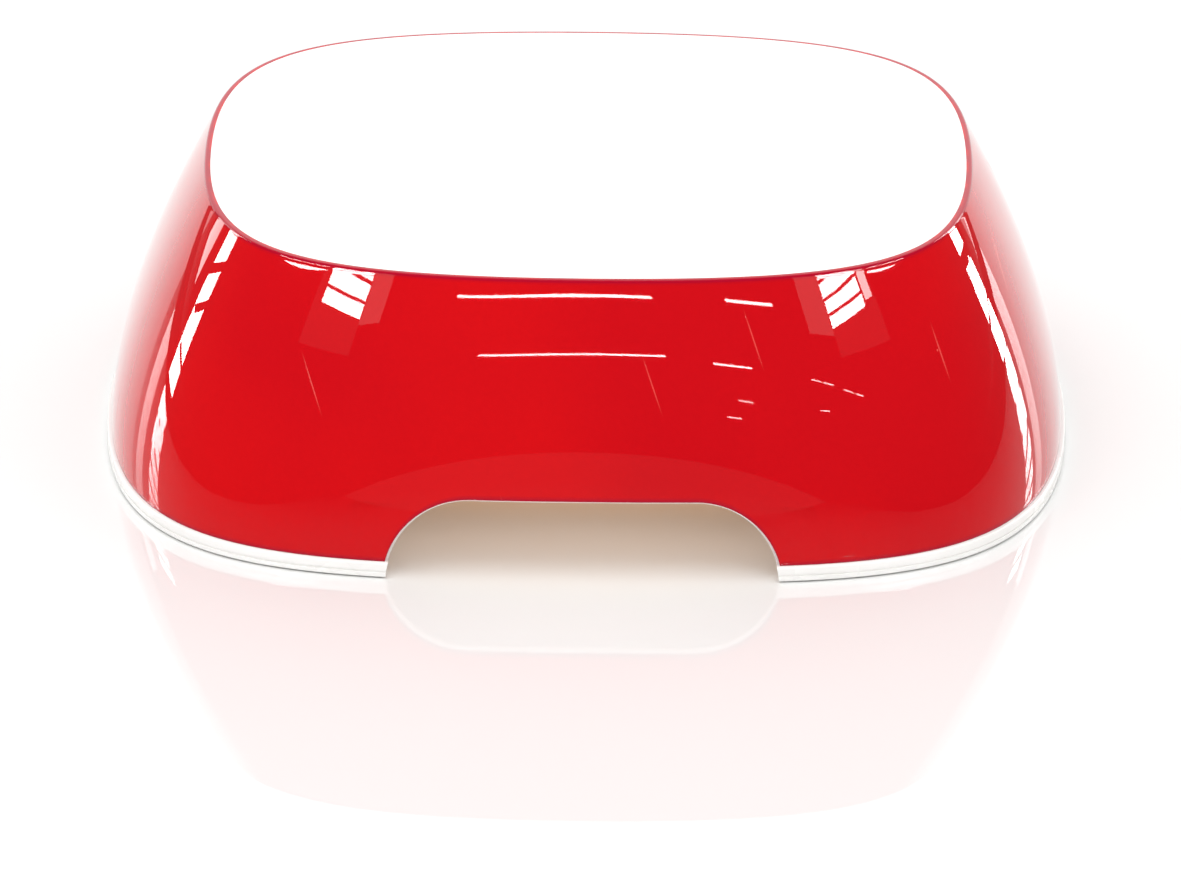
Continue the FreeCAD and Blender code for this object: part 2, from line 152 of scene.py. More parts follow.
def blend(tree: bpy.types.NodeTree, share: Socket, first: Socket | str, second: Socket | str) -> Socket:
    """Mix two colours, each of them a socket or an sRGB hex colour."""
    values, links = {}, {0: share}
    for place, colour in ((6, first), (7, second)):
        if isinstance(colour, str):
            values[place] = linear_colour(colour)
        else:
            links[place] = colour
    return add_node(tree, "Mix", {"data_type": "RGBA"}, values, links).outputs[2]


def bumped(tree: bpy.types.NodeTree, height: Socket, strength: float, depth_mm: float) -> Socket:
    """Turn a height into a normal."""
    return add_node(tree, "Bump", values={"Strength": strength, "Distance": depth_mm * MM},
                    links={"Height": height}).outputs["Normal"]


def plastic_shader(tree: bpy.types.NodeTree, values: dict, links: dict) -> None:
    """Add a Principled shader and the material's output."""
    shader = add_node(tree, "BsdfPrincipled", values=values, links=links)
    add_node(tree, "OutputMaterial", links={"Surface": shader.outputs["BSDF"]})


@dataclass(frozen=True)
class RedSkinPlastic:
    """Transparent red ABS, moulded over white and polished in the mould.

    It is deep red with a mirror gloss. Along its free edges and its top round it is darkened by painted
    shade, which stands in for the eye looking into its thickness. Its thickness varies a little, so its red
    does too.
    It has hairline scratches from wiping, and a few specks of dust.
    """

    body_red: str = "#D30D14"
    thick_red: str = "#C80A15"
    # Painted shade: this darker red is laid along the free edges and the top round.
    painted_edge_shade_red: str = "#A0082A"
    dust: str = "#F0564E"
    flow_mark_mm: float = 70.0
    grain_mm: float = 1.1
    wave_mm: float = 24.0
    scratch_spacing_mm: float = 6.5
    scratch_half_width_mm: float = 0.13
    scratch_stretch: float = 36.0
    dust_spacing_mm: float = 9.0
    dust_share: float = 0.3
    ior: float = 1.2
    gloss_ior: float = 1.2
    roughness: float = 0.012

    def make(self) -> bpy.types.Material:
        """Build the material.

        Returns:
            The finished material.
        """
        material = empty_material("Polished_red_ABS")
        tree = material.node_tree
        place = object_place(tree)

        # The plastic flowed in from the rim, so its thickness changes slowly over the skirt.
        flow = spread_over(tree, noise(tree, place, self.flow_mark_mm, 2.0, 0.45), 0.38, 0.62)
        speckle = calculate(tree, "MULTIPLY_ADD", noise(tree, place, self.grain_mm, 3.0), 0.5, -0.25)
        thickness = calculate(tree, "ADD", flow, speckle, clamp=True)
        red = blend(tree, thickness, self.body_red, self.thick_red)

        # The mesh stores how strongly painted shade darkens each point, along the free edges and the top
        # round.
        edge = add_node(tree, "Attribute", {"attribute_name": "painted_edge_shade"}).outputs["Fac"]
        edge_shaded = blend(tree, edge, red, self.painted_edge_shade_red)

        facing = self.scratches(tree, place, "X", (0.0, -20.0, 0.0))
        beside = self.scratches(tree, place, "Y", (-24.0, 0.0, 0.0))
        scratches = calculate(tree, "MAXIMUM", facing, beside)
        worn = calculate(tree, "ADD", scratches, self.specks(tree, place), clamp=True)
        colour = blend(tree, calculate(tree, "MULTIPLY", worn, 0.55), edge_shaded, self.dust)
        dulled = calculate(tree, "MULTIPLY_ADD", worn, 0.3, self.roughness)
        # A moulded face is never quite true: a very low wave bends long reflections a little.
        normal = bumped(tree, noise(tree, place, self.wave_mm, 0.0), 0.03, 0.2)
        # A polished outer face over the coloured depth: faint face on, and strong at a grazing angle.
        plastic_shader(tree, {"IOR": self.ior, "Coat Weight": 1.0, "Coat IOR": self.gloss_ior,
                              "Coat Roughness": self.roughness},
                       {"Base Color": colour, "Roughness": dulled, "Normal": normal, "Coat Normal": normal})
        return material

    def scratches(self, tree: bpy.types.NodeTree, place: Socket, across: str, lean: Point) -> Socket:
        """Draw sparse straight hairlines, as specks drawn out along the skirt.

        They are drawn about 0.25 mm wide, which is coarser than real ones, so that they show.

        Args:
            tree: The material's tree.
            place: The Object coordinates.
            across: The axis that runs across the hairlines, "X" or "Y".
            lean: How far the hairlines are turned about each axis, in degrees.

        Returns:
            A socket that is 1 on a scratch and 0 elsewhere.
        """
        angles = tuple(math.radians(angle) for angle in lean)
        turned = add_node(tree, "Mapping", {"vector_type": "TEXTURE"}, {"Rotation": angles},
                          {"Vector": place}).outputs["Vector"]
        axes = add_node(tree, "SeparateXYZ", links={0: turned}).outputs
        along = calculate(tree, "DIVIDE", axes["Z"], self.scratch_stretch)
        flat = add_node(tree, "CombineXYZ", links={"X": axes[across], "Y": along})
        cells = add_node(tree, "TexVoronoi", {"voronoi_dimensions": "2D"},
                         {"Scale": per_metre(self.scratch_spacing_mm)}, {"Vector": flat.outputs[0]})
        reach = self.scratch_half_width_mm / self.scratch_spacing_mm
        return spread_over(tree, cells.outputs["Distance"], reach * 0.6, reach * 1.6, 1.0, 0.0)

    def specks(self, tree: bpy.types.NodeTree, place: Socket) -> Socket:
        """Draw dust: one round speck in some of the cells of a loose grid.

        Args:
            tree: The material's tree.
            place: The Object coordinates.

        Returns:
            A socket that is 1 on a speck and 0 elsewhere.
        """
        cells = add_node(tree, "TexVoronoi", values={"Scale": per_metre(self.dust_spacing_mm)},
                         links={"Vector": place})
        dot = spread_over(tree, cells.outputs["Distance"], 0.022, 0.036, 1.0, 0.0)
        chosen = add_node(tree, "SeparateColor", links={"Color": cells.outputs["Color"]}).outputs["Red"]
        some = calculate(tree, "GREATER_THAN", chosen, 1.0 - self.dust_share)
        return calculate(tree, "MULTIPLY", dot, some)


@dataclass(frozen=True)
class WhiteMouldedPlastic:
    """White ABS as it comes from the mould: a smooth satin face, or a duller one on the underside.

    The face that holds food is even and bright, with a fine texture that takes the mirror out of it.
    The underside isn't polished, so it is duller. Its warmer, darker white is painted warm shade, for the
    light that reaches it only through the moulding.
    """

    name: str
    white: str
    shade: str
    roughness: float
    texture_mm: float
    texture_strength: float
    cloud_mm: float = 45.0
    ior: float = 1.46

    def make(self) -> bpy.types.Material:
        """Build the material.

        Returns:
            The finished material.
        """
        material = empty_material(self.name)
        tree = material.node_tree
        place = object_place(tree)
        cloud = noise(tree, place, self.cloud_mm, 3.0)
        colour = blend(tree, spread_over(tree, cloud, 0.35, 0.7), self.white, self.shade)
        dulled = spread_over(tree, cloud, 0.0, 1.0, self.roughness, self.roughness + 0.1)
        normal = bumped(tree, noise(tree, place, self.texture_mm, 2.0), self.texture_strength, 0.1)
        plastic_shader(tree, {"IOR": self.ior},
                       {"Base Color": colour, "Roughness": dulled, "Normal": normal})
        return material


@dataclass(frozen=True)
class FootRubber:
    """Moulded thermoplastic rubber: matte, pale grey, with a fine pitted skin that picks up dirt."""

    rubber: str = "#C9C8C4"
    dirt: str = "#A7A49D"
    pit_mm: float = 0.6
    dirt_mm: float = 4.0
    roughness: float = 0.72
    ior: float = 1.5

    def make(self) -> bpy.types.Material:
        """Build the material.

        Returns:
            The finished material.
        """
        material = empty_material("Matte_grey_rubber")
        tree = material.node_tree
        place = object_place(tree)
        stain = spread_over(tree, noise(tree, place, self.dirt_mm, 4.0), 0.45, 0.75)
        colour = blend(tree, stain, self.rubber, self.dirt)
        normal = bumped(tree, noise(tree, place, self.pit_mm, 2.0), 0.5, 0.1)
        plastic_shader(tree, {"Roughness": self.roughness, "IOR": self.ior},
                       {"Base Color": colour, "Normal": normal})
        return material


@dataclass(frozen=True)
class GlossySheet:
    """White acrylic sheet, the studio's table: pale, with a clear but faint mirror image in it."""

    white: str = "#E8E8E7"
    ior: float = 1.55
    roughness: float = 0.02

    def make(self) -> bpy.types.Material:
        """Build the material.

        Returns:
            The finished material.
        """
        material = empty_material("White_acrylic_sheet")
        plastic_shader(material.node_tree, {"Base Color": linear_colour(self.white), "IOR": self.ior,
                                            "Roughness": self.roughness}, {})
        return material


@dataclass(frozen=True)
class Glow:
    """A plain emitter, for the panes and tubes that the gloss reflects."""

    name: str
    strength: float
    one_sided: bool = False
    tint: str = "#FFFFFF"

    def make(self) -> bpy.types.Material:
        """Build the material. A one-sided one is clear from behind.

        Returns:
            The finished material.
        """
        material = empty_material(self.name)
        tree = material.node_tree
        surface = add_node(tree, "Emission", values={"Color": linear_colour(self.tint),
                                                     "Strength": self.strength}).outputs["Emission"]
        if self.one_sided:
            side = add_node(tree, "NewGeometry").outputs["Backfacing"]
            clear = add_node(tree, "BsdfTransparent").outputs["BSDF"]
            surface = add_node(tree, "MixShader", links={0: side, 1: surface, 2: clear}).outputs[0]
        add_node(tree, "OutputMaterial", links={"Surface": surface})
        return material


# ---------------------------------------------------------------- shapes


@dataclass(frozen=True)
class Outline:
    """A level outline of four equal quarters, each one cubic curve from the side to the front."""

    half_width: float
    half_depth: float
    side_handle: float
    front_handle: float

    def point(self, share: float) -> tuple[float, float]:
        """Give the point at a share of the way from the middle of the side to the middle of the front."""
        rest = 1.0 - share
        x = rest ** 3 + 3 * rest ** 2 * share + 3 * self.front_handle * rest * share ** 2
        y = share ** 3 + 3 * rest * share ** 2 + 3 * self.side_handle * rest ** 2 * share
        return self.half_width * x, self.half_depth * y

    def share_at(self, x: float) -> float:
        """Find the share at which the quarter passes a distance x from the middle plane."""
        low, high = 0.0, 1.0
        for _ in range(48):
            middle = (low + high) / 2
            if self.point(middle)[0] > x:
                low = middle
            else:
                high = middle
        return (low + high) / 2

    def holds(self, x: float, y: float) -> bool:
        """Say whether a point lies inside the outline."""
        if abs(x) >= self.half_width:
            return False
        return abs(y) < self.point(self.share_at(abs(x)))[1]


@dataclass(frozen=True)
class BowlShape:
    """The sizes of the bowl, and the outlines and curves that follow from them."""

    height: float = 66.7
    rim_half_width: float = 88.0
    rim_half_depth: float = 78.5
    base_half_width: float = 110.0
    base_half_depth: float = 94.6
    rim_side_handle: float = 0.77
    rim_front_handle: float = 0.82
    base_side_handle: float = 0.98
    base_front_handle: float = 0.62
    skirt_bulge: float = 1.6
    skin_bottom: float = 3.8
    skin_thickness: float = 1.2
    wall_inset: float = 3.4
    rim_inset: float = 3.7
    roof: float = 60.0
    draft: float = math.radians(18)
    inside_round: float = 16.0
    floor_top: float = 14.0
    bowl_wall: float = 2.4
    notch_flat_half: float = 25.4
    notch_radius: float = 18.9
    notch_centre: float = -0.8
    notch_reach: float = 88.0
    notch_fade: float = 34.0

    def skirt(self, height: float, inset: float) -> Outline:
        """Give the outline of the skirt at a height, in by an inset from the outer face."""
        down = min(max((self.height - height) / (self.height - self.skin_bottom), 0.0), 1.0)
        share = 1.0 - (1.0 - down) ** self.skirt_bulge
        return Outline(
            self.rim_half_width + (self.base_half_width - self.rim_half_width) * share - inset,
            self.rim_half_depth + (self.base_half_depth - self.rim_half_depth) * share - inset,
            self.rim_side_handle + (self.base_side_handle - self.rim_side_handle) * down,
            self.rim_front_handle + (self.base_front_handle - self.rim_front_handle) * down)

    def inside(self, inset: float) -> Outline:
        """Give an outline of the bowl's own wall, in by an inset from its mouth."""
        return Outline(self.rim_half_width - self.rim_inset - inset,
                       self.rim_half_depth - self.rim_inset - inset,
                       self.rim_side_handle, self.rim_front_handle)

    def wall(self, height: float, depth: float) -> float:
        """Give the inset of the bowl's wall at a height, at a depth into the wall from its inside."""
        return math.tan(self.draft) * (self.height - height) - depth / math.cos(self.draft)

    def corner(self, turn: float, depth: float) -> tuple[float, float]:
        """Give the height and inset on the round between floor and wall.

        Args:
            turn: 0 at the floor and 1 at the wall.
            depth: The depth into the wall from its inside.

        Returns:
            The height, and the inset from the mouth.
        """
        angle = turn * (math.pi / 2 - self.draft)
        radius = self.inside_round + depth
        centre_height = self.floor_top + self.inside_round
        centre_inset = self.wall(centre_height, -self.inside_round)
        return centre_height - radius * math.cos(angle), centre_inset - radius * math.sin(angle)

    def wall_height_over(self, x: float, y: float) -> float:
        """Find the height at which the middle of the bowl's wall passes over a point in plan."""
        low, high = self.floor_top + self.inside_round, self.height
        for _ in range(40):
            middle = (low + high) / 2
            if self.inside(self.wall(middle, self.bowl_wall / 2)).holds(x, y):
                high = middle
            else:
                low = middle
        return (low + high) / 2

    def share_in(self, column: "Column", inset: float) -> float:
        """Give a column's share on a face further in, so that near the notch it keeps its place along X."""
        moved = self.skirt(column.end_height, inset).share_at(column.end_x)
        near = min(max((self.notch_reach - column.end_x) / self.notch_fade, 0.0), 1.0)
        return column.share + (moved - column.share) * near

    def on_skirt(self, x: float, height: float, inset: float) -> Point:
        """Give the point on the skirt at a distance x from the middle plane and at a height."""
        outline = self.skirt(height, inset)
        across, along = outline.point(outline.share_at(x))
        return across, along, height

    def at_share(self, share: float, height: float, inset: float) -> Point:
        """Give the point on the skirt at a share of the quarter and at a height."""
        across, along = self.skirt(height, inset).point(share)
        return across, along, height


@dataclass(frozen=True)
class Column:
    """One line down the bowl: its share of the quarter, and where it meets the free edge below."""

    share: float
    end_x: float
    end_height: float
    in_notch: bool


def steps(first: float, last: float, count: int) -> list[float]:
    """Give evenly spaced numbers from first to last, both included."""
    return [first + (last - first) * number / (count - 1) for number in range(count)]


def quarter_columns(shape: BowlShape, setback: float, doubled: bool) -> list[Column]:
    """Lay out the columns of one quarter, from the middle of the side to the middle of the notch.

    Args:
        shape: The bowl.
        setback: How far this piece stays back from the edge of the notch.
        doubled: Whether a second column stands at the end of the notch, to close the flange there.

    Returns:
        The columns in order.
    """
    radius = shape.notch_radius + setback
    bottom = shape.skin_bottom
    start = math.asin((bottom - shape.notch_centre) / radius)
    end_x = shape.notch_flat_half + radius * math.cos(start)
    outline = shape.skirt(bottom, 0.0)
    end_share = outline.share_at(end_x)
    # The columns draw closer together round the corner and next to the notch.
    plain = [end_share * (1 - (1 - part) ** 1.25) for part in steps(0.0, 1.0, 46)]
    columns = [Column(share, outline.point(share)[0], bottom, False) for share in plain[:-1]]
    if doubled:
        columns.append(Column(end_share, end_x, bottom, False))
    for angle in steps(start, math.pi / 2, 18):
        x = shape.notch_flat_half + radius * math.cos(angle)
        height = shape.notch_centre + radius * math.sin(angle)
        columns.append(Column(shape.skirt(height, 0.0).share_at(x), x, height, True))
    top = shape.notch_centre + radius
    for x in steps(shape.notch_flat_half, 0.0, 11)[1:]:
        columns.append(Column(shape.skirt(top, 0.0).share_at(x), x, top, True))
    return columns


def skirt_face(shape: BowlShape, column: Column, inset: float, top: float, end_gap: float) -> list[Point]:
    """Run down one column of the skirt from a height at the top to a gap above its free edge.

    Near the edge the rings lie close together, so that the painted shade along the edge stays narrow.

    Args:
        shape: The bowl.
        column: The column.
        inset: The inset from the outer face of the skin.
        top: The height of the first point.
        end_gap: How far above the free edge the last point lies.

    Returns:
        The points from the top down.
    """
    last = column.end_height + end_gap
    share = shape.share_in(column, inset)
    close = [last + 2.4, last + 1.1, last + 0.55, last + 0.2, last]
    long = [top, top - 0.25, top - 0.8] + steps(top - 0.8, close[0], 22)[1:-1]
    points = [shape.at_share(share, height, inset) for height in long]
    for height in close:
        across, along, _ = shape.at_share(share, height, inset)
        if column.in_notch:
            # The last rings bend over to meet the column's own place on the edge.
            pull = max(0.0, 1.0 - (height - last) / 2.4)
            fixed = shape.on_skirt(column.end_x, height, inset)
            across += (fixed[0] - across) * pull
            along = shape.on_skirt(across, height, inset)[1]
        points.append((across, along, height))
    return points


def all_round(quarter: list[list[Point]]) -> list[list[Point]]:
    """Mirror the columns of one quarter into the other three, in order round the bowl."""
    whole: list[list[Point]] = []
    for side_x, side_y, backward in ((1, 1, False), (-1, 1, True), (-1, -1, False), (1, -1, True)):
        columns = quarter[::-1] if backward else quarter
        whole += [[(x * side_x, y * side_y, z) for x, y, z in column] for column in columns[:-1]]
    return whole


# ---------------------------------------------------------------- modelling


def deselect_all() -> None:
    """Leave nothing selected, since every operator acts on what is."""
    if bpy.context.object and bpy.context.object.mode != "OBJECT":
        bpy.ops.object.mode_set(mode="OBJECT")
    bpy.ops.object.select_all(action="DESELECT")


def extruded_tube(name: str, columns: int, rows: int) -> bpy.types.Object:
    """Add a circle and extrude it into a tube, one ring for each row of the profile.

    Args:
        name: The object's name.
        columns: How many points there are in a ring.
        rows: How many rings there are.

    Returns:
        The tube, with its rings one unit apart below each other.
    """
    deselect_all()
    bpy.ops.mesh.primitive_circle_add(vertices=columns, radius=1.0, fill_type="NOTHING")
    tube = bpy.context.active_object
    tube.name = tube.data.name = name
    bpy.ops.object.mode_set(mode="EDIT")
    bpy.ops.mesh.select_all(action="SELECT")
    for _ in range(rows - 1):
        bpy.ops.mesh.extrude_region_move(TRANSFORM_OT_translate={"value": (0.0, 0.0, -1.0)})
    bpy.ops.object.mode_set(mode="OBJECT")
    return tube


def lay_rings(tube: bpy.types.Object, columns: list[list[Point]],
              painted_edge_shades: list[list[float]] | None = None, second_from: int | None = None) -> None:
    """Move each point of a tube to its place on the piece.

    Args:
        tube: The tube from extruded_tube.
        columns: For each column, its points from the first ring to the last.
        painted_edge_shades: For each column, how strongly the painted edge shade shows at each ring.
        second_from: The first ring from which the second material is used.
    """
    mesh = tube.data
    count = len(columns)
    attribute = mesh.attributes.new("painted_edge_shade", "FLOAT", "POINT") if painted_edge_shades else None
    rings = []
    for vertex in mesh.vertices:
        ring = round(-vertex.co.z)
        column = round(math.atan2(vertex.co.y, vertex.co.x) / (2 * math.pi) * count) % count
        rings.append(ring)
        if attribute:
            attribute.data[vertex.index].value = painted_edge_shades[column][ring]
        vertex.co = Vector(columns[column][ring]) * MM
    if second_from is not None:
        for face in mesh.polygons:
            if min(rings[corner] for corner in face.vertices) >= second_from:
                face.material_index = 1


def close_and_smooth(piece: bpy.types.Object, angle: float = 32.0) -> None:
    """Merge doubles, turn all faces outwards, count open edges and smooth the shading.

    Args:
        piece: The object to finish.
        angle: Edges sharper than this many degrees stay sharp.
    """
    deselect_all()
    piece.select_set(True)
    bpy.context.view_layer.objects.active = piece
    bpy.ops.object.mode_set(mode="EDIT")
    bpy.ops.mesh.select_all(action="SELECT")
    bpy.ops.mesh.remove_doubles(threshold=0.000002)
    bpy.ops.mesh.select_all(action="SELECT")
    bpy.ops.mesh.normals_make_consistent(inside=False)
    bpy.ops.mesh.select_all(action="DESELECT")
    bpy.ops.mesh.select_non_manifold()
    bpy.ops.object.mode_set(mode="OBJECT")
    open_points = sum(vertex.select for vertex in piece.data.vertices)
    bpy.ops.object.shade_smooth_by_angle(angle=math.radians(angle))
    log.info("%s: %d faces, %d open points", piece.name, len(piece.data.polygons), open_points)


def dress(piece: bpy.types.Object, materials: list[bpy.types.Material]) -> None:
    """Fill the material slots of a piece, in order."""
    for number, material in enumerate(materials):
        if number < len(piece.material_slots):
            piece.material_slots[number].material = material
        else:
            piece.data.materials.append(material)


def join_into(target: bpy.types.Object, parts: list[bpy.types.Object]) -> None:
    """Join parts into a target, which keeps its name."""
    deselect_all()
    for part in parts:
        part.select_set(True)
    target.select_set(True)
    bpy.context.view_layer.objects.active = target
    bpy.ops.object.join()


# ---------------------------------------------------------------- sub-assemblies


@dataclass
class WhiteMoulding:
    """The white moulding: bowl, rim, skirt, flange, and the bosses and webs under it."""

    shape: BowlShape
    flange_out: float = 0.9
    flange_round: float = 0.4
    clearance: float = 0.3
    groove_height: float = 1.9
    groove_depth: float = 0.3
    rim_round: float = 1.2
    edge_round: float = 0.25
    boss_places: tuple[float, float] = (68.0, 57.0)
    boss_radius: float = 7.0
    bore_radius: float = 3.0
    bore_top: float = 8.2
    boss_bottom: float = 1.2
    boss_top: float = 50.0
    web_thickness: float = 2.0
    web_length: float = 15.0
    piece: bpy.types.Object | None = field(default=None, init=False)
    hidden_ring: int = field(default=0, init=False)

    def rim_arc(self) -> list[tuple[float, float]]:
        """Give the heights and insets round the inner edge of the rim, from the wall to the land."""
        draft, radius = self.shape.draft, self.rim_round
        centre = radius * (1 - math.sin(draft)) / math.cos(draft)
        arc = []
        for angle in steps(math.pi - draft, math.pi / 2, 7):
            arc.append((self.shape.height - radius + radius * math.sin(angle),
                        -centre - radius * math.cos(angle)))
        return arc

    def flange_loop(self, column: Column) -> list[Point]:
        """Run round the flange, from the skirt's outer face to its inner one.

        In the notch there is no flange, and the same number of points goes round the bare edge.

        Args:
            column: The column.

        Returns:
            The points in order.
        """
        shape, out, low = self.shape, -self.flange_out, self.clearance
        outer, inner = shape.skin_thickness, shape.wall_inset
        if column.in_notch:
            bend = min(self.edge_round, (column.end_height - shape.skin_bottom) / 2)
            ends = [(outer + 0.3 * bend, 0.3 * bend)] + [(outer + bend, 0.0)] * 13
            ends += [(inner - bend, 0.0), (inner - 0.3 * bend, 0.3 * bend), (inner, bend)]
            return [shape.on_skirt(column.end_x, column.end_height + up, inset) for inset, up in ends]
        top, bend = shape.skin_bottom, self.flange_round
        groove, dip = self.groove_height, self.groove_depth
        ends = [(out + bend, top), (out + 0.5 * bend, top - 0.13 * bend),
                (out + 0.13 * bend, top - 0.5 * bend), (out, top - bend), (out, groove + 0.1),
                (out + dip, groove), (out + dip, groove - 0.35), (out, groove - 0.45),
                (out, low + bend + 0.2), (out, low + bend), (out + 0.13 * bend, low + 0.5 * bend),
                (out + 0.5 * bend, low + 0.13 * bend), (out + bend, low), (out + bend + 0.5, low),
                (inner, low), (inner, 1.6), (inner, top)]
        points = []
        for inset, height in ends:
            across, along, _ = shape.at_share(shape.share_in(column, inset), top, inset)
            if column.end_x < shape.notch_flat_half + shape.notch_radius - 0.2:
                # The cut end of the flange follows the arc of the notch.
                rise = height - shape.notch_centre
                across = shape.notch_flat_half + math.sqrt(shape.notch_radius ** 2 - rise ** 2)
                along = shape.on_skirt(across, top, inset)[1]
            points.append((across, along, height))
        return points

    def profile(self, column: Column) -> list[Point]:
        """Run along one column, from the middle of the bowl's floor round to its underside.

        Args:
            column: The column.

        Returns:
            The points in order.
        """
        shape, share = self.shape, column.share

        def on_wall(height: float, inset: float, scale: float = 1.0) -> Point:
            across, along = shape.inside(inset).point(share)
            return across * scale, along * scale, height

        floor_inset = shape.corner(0.0, 0.0)[1]
        points = [on_wall(shape.floor_top, floor_inset, scale)
                  for scale in (0.0, 0.2, 0.45, 0.7, 0.9, 0.98)]
        points += [on_wall(*shape.corner(turn, 0.0)) for turn in steps(0.0, 1.0, 12)]
        arc = self.rim_arc()
        start = points[-1][2]
        for height in steps(start, arc[0][0], 9)[1:-1] + [arc[0][0] - 0.3]:
            points.append(on_wall(height, shape.wall(height, 0.0)))
        points += [on_wall(height, inset) for height, inset in arc]
        points.append(on_wall(shape.height, arc[-1][1] - 0.2))
        bend = min(self.edge_round, (column.end_height - shape.skin_bottom) / 2) if column.in_notch else 0.0
        points += skirt_face(shape, column, shape.skin_thickness, shape.height, bend)
        points += self.flange_loop(column)
        self.hidden_ring = len(points) - 1
        bottom = points[-1][2]
        inner_share = shape.share_in(column, shape.wall_inset)
        for height in [bottom + 0.5] + steps(bottom + 2.0, shape.roof, 12):
            points.append(shape.at_share(inner_share, height, shape.wall_inset))
        points.append(on_wall(shape.roof, shape.wall(shape.roof, shape.bowl_wall)))
        outer = [shape.corner(turn, shape.bowl_wall) for turn in steps(1.0, 0.0, 9)]
        for height in steps(shape.roof, outer[0][0], 6)[1:-1]:
            points.append(on_wall(height, shape.wall(height, shape.bowl_wall)))
        points += [on_wall(height, inset) for height, inset in outer]
        points += [on_wall(outer[-1][0], outer[-1][1], scale) for scale in (0.95, 0.6, 0.25, 0.0)]
        return points

    def build(self) -> None:
        """Model the moulding, then its bosses and webs, and join them."""
        quarter = [self.profile(column) for column in quarter_columns(self.shape, 0.0, doubled=True)]
        columns = all_round(quarter)
        self.piece = extruded_tube("white_moulding", len(columns), len(columns[0]))
        # The faces hidden under the bowl take the second material, whose warmer, darker white is painted
        # shade.
        lay_rings(self.piece, columns, second_from=self.hidden_ring)
        self.piece.data.materials.append(None)
        self.piece.data.materials.append(None)
        close_and_smooth(self.piece)
        extras = []
        for side_x in (-1, 1):
            for side_y in (-1, 1):
                extras += [self.build_boss(side_x, side_y), self.build_web(side_x, side_y)]
        join_into(self.piece, extras)

    def build_boss(self, side_x: int, side_y: int) -> bpy.types.Object:
        """Model one boss with its bore, as a turned tube whose top ends inside the bowl's wall.

        Args:
            side_x: The side of the bowl along X, 1 or -1.
            side_y: The side of the bowl along Y, 1 or -1.

        Returns:
            The boss.
        """
        centre_x, centre_y = self.boss_places[0] * side_x, self.boss_places[1] * side_y
        low, radius, bore = self.boss_bottom, self.boss_radius, self.bore_radius
        turned = [(0.0, self.bore_top), (bore, self.bore_top), (bore, low + 0.3), (bore + 0.3, low),
                  (radius - 0.3, low), (radius, low + 0.3), (radius, 12.0), (radius, None), (0.0, None)]
        columns = []
        for number in range(48):
            angle = 2 * math.pi * number / 48
            column = []
            for reach, height in turned:
                x = centre_x + reach * math.cos(angle)
                y = centre_y + reach * math.sin(angle)
                if height is None:
                    height = min(self.boss_top, self.shape.wall_height_over(x, y))
                column.append((x, y, height))
            columns.append(column)
        boss = extruded_tube("boss", 48, len(turned))
        lay_rings(boss, columns)
        self.underside_only(boss)
        close_and_smooth(boss)
        return boss

    def build_web(self, side_x: int, side_y: int) -> bpy.types.Object:
        """Model one web: a cube, cut into strips, whose top edge follows the bowl's wall.

        Args:
            side_x: The side of the bowl along X, 1 or -1.
            side_y: The side of the bowl along Y, 1 or -1.

        Returns:
            The web.
        """
        outer, low = self.boss_places[0], self.shape.floor_top
        middle = (outer - self.web_length / 2) * side_x
        deselect_all()
        bpy.ops.mesh.primitive_cube_add(size=1.0)
        web = bpy.context.active_object
        web.name = web.data.name = "web"
        bpy.ops.object.mode_set(mode="EDIT")
        bpy.ops.mesh.select_all(action="SELECT")
        bpy.ops.mesh.subdivide(number_cuts=3)
        bpy.ops.object.mode_set(mode="OBJECT")
        for vertex in web.data.vertices:
            x = middle + vertex.co.x * self.web_length
            y = self.boss_places[1] * side_y + vertex.co.y * self.web_thickness
            top = min(self.boss_top, self.shape.wall_height_over(x, y))
            vertex.co = Vector((x, y, low + (vertex.co.z + 0.5) * (top - low))) * MM
        self.underside_only(web)
        close_and_smooth(web)
        return web

    def underside_only(self, part: bpy.types.Object) -> None:
        """Give every face of a part the underside's material: a duller finish, with painted warm shade in
        its colour.
        """
        part.data.materials.append(None)
        part.data.materials.append(None)
        for face in part.data.polygons:
            face.material_index = 1

    def dress(self, polished: bpy.types.Material, shaded_underside: bpy.types.Material) -> None:
        """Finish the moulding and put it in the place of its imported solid."""
        dress(self.piece, [polished, shaded_underside])
        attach(self.piece, "root")
        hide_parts("white_bowl")
        log.info("white moulding: %d faces", len(self.piece.data.polygons))


